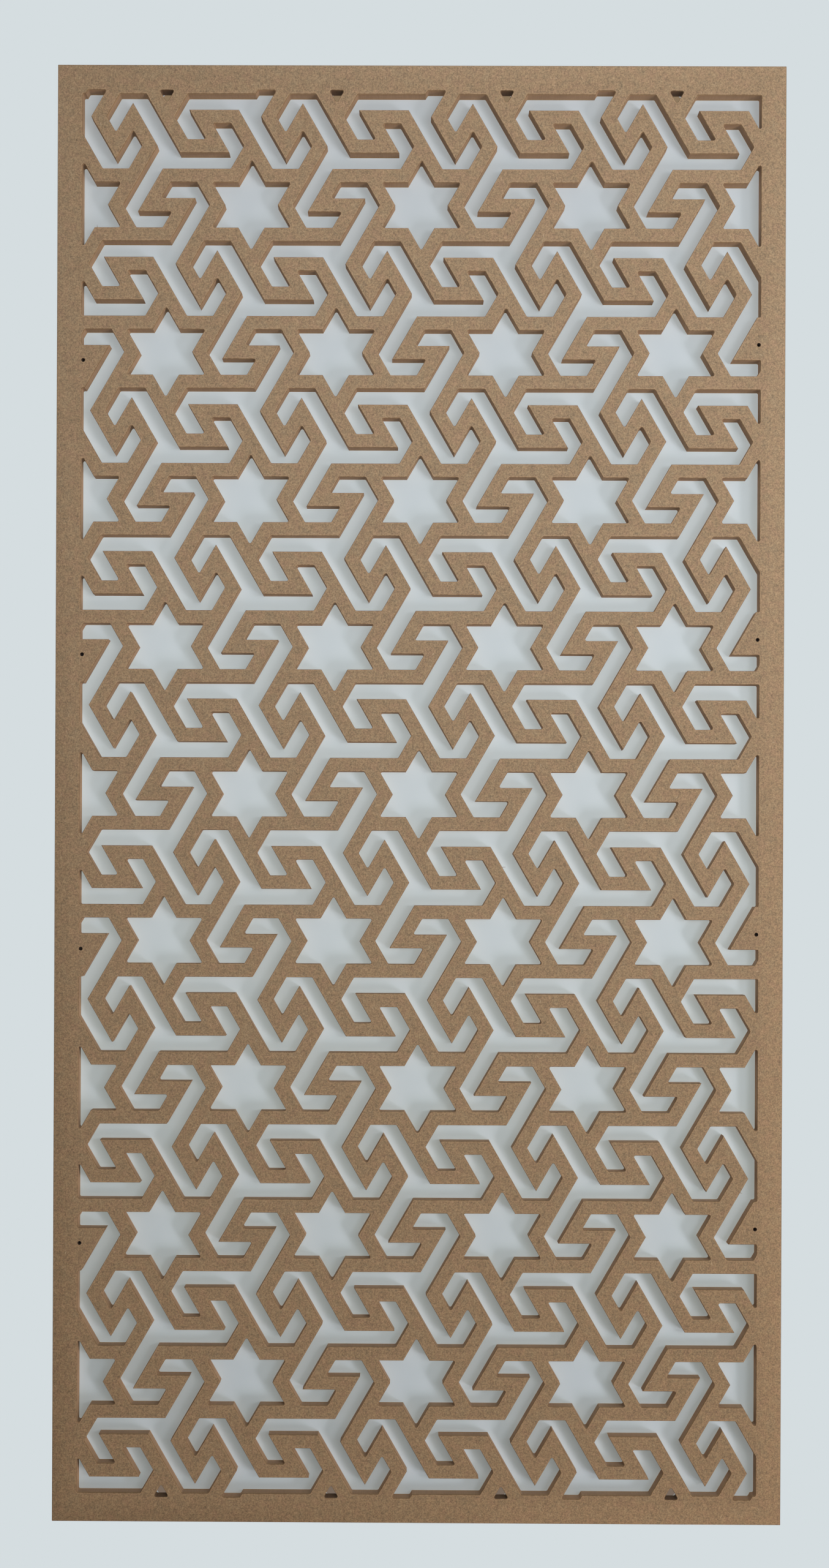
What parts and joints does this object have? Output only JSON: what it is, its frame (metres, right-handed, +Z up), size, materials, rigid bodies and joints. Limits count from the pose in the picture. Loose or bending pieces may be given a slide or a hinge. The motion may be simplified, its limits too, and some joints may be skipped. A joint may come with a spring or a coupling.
{
  "type": "mashrabiya screen panel",
  "caption": "Flat upright MDF panel, routed right through with a lattice of interlocking stars and hooked swirls inside a plain border, to fill a window, door or wall frame.",
  "frame": {"origin": "middle of the top rail's back face, where the panel is fixed to what holds it", "axes": "+X across the width, to the right seen from the front; +Y out of the back face; +Z up the height"},
  "size_m": [0.6, 0.009, 1.2],
  "materials": {
    "raw_mdf": "raw, unpainted MDF, matte, with darker routed edges"
  },
  "bodies": {
    "root": {"screen_panel": "raw_mdf"}
  },
  "joints": []
}
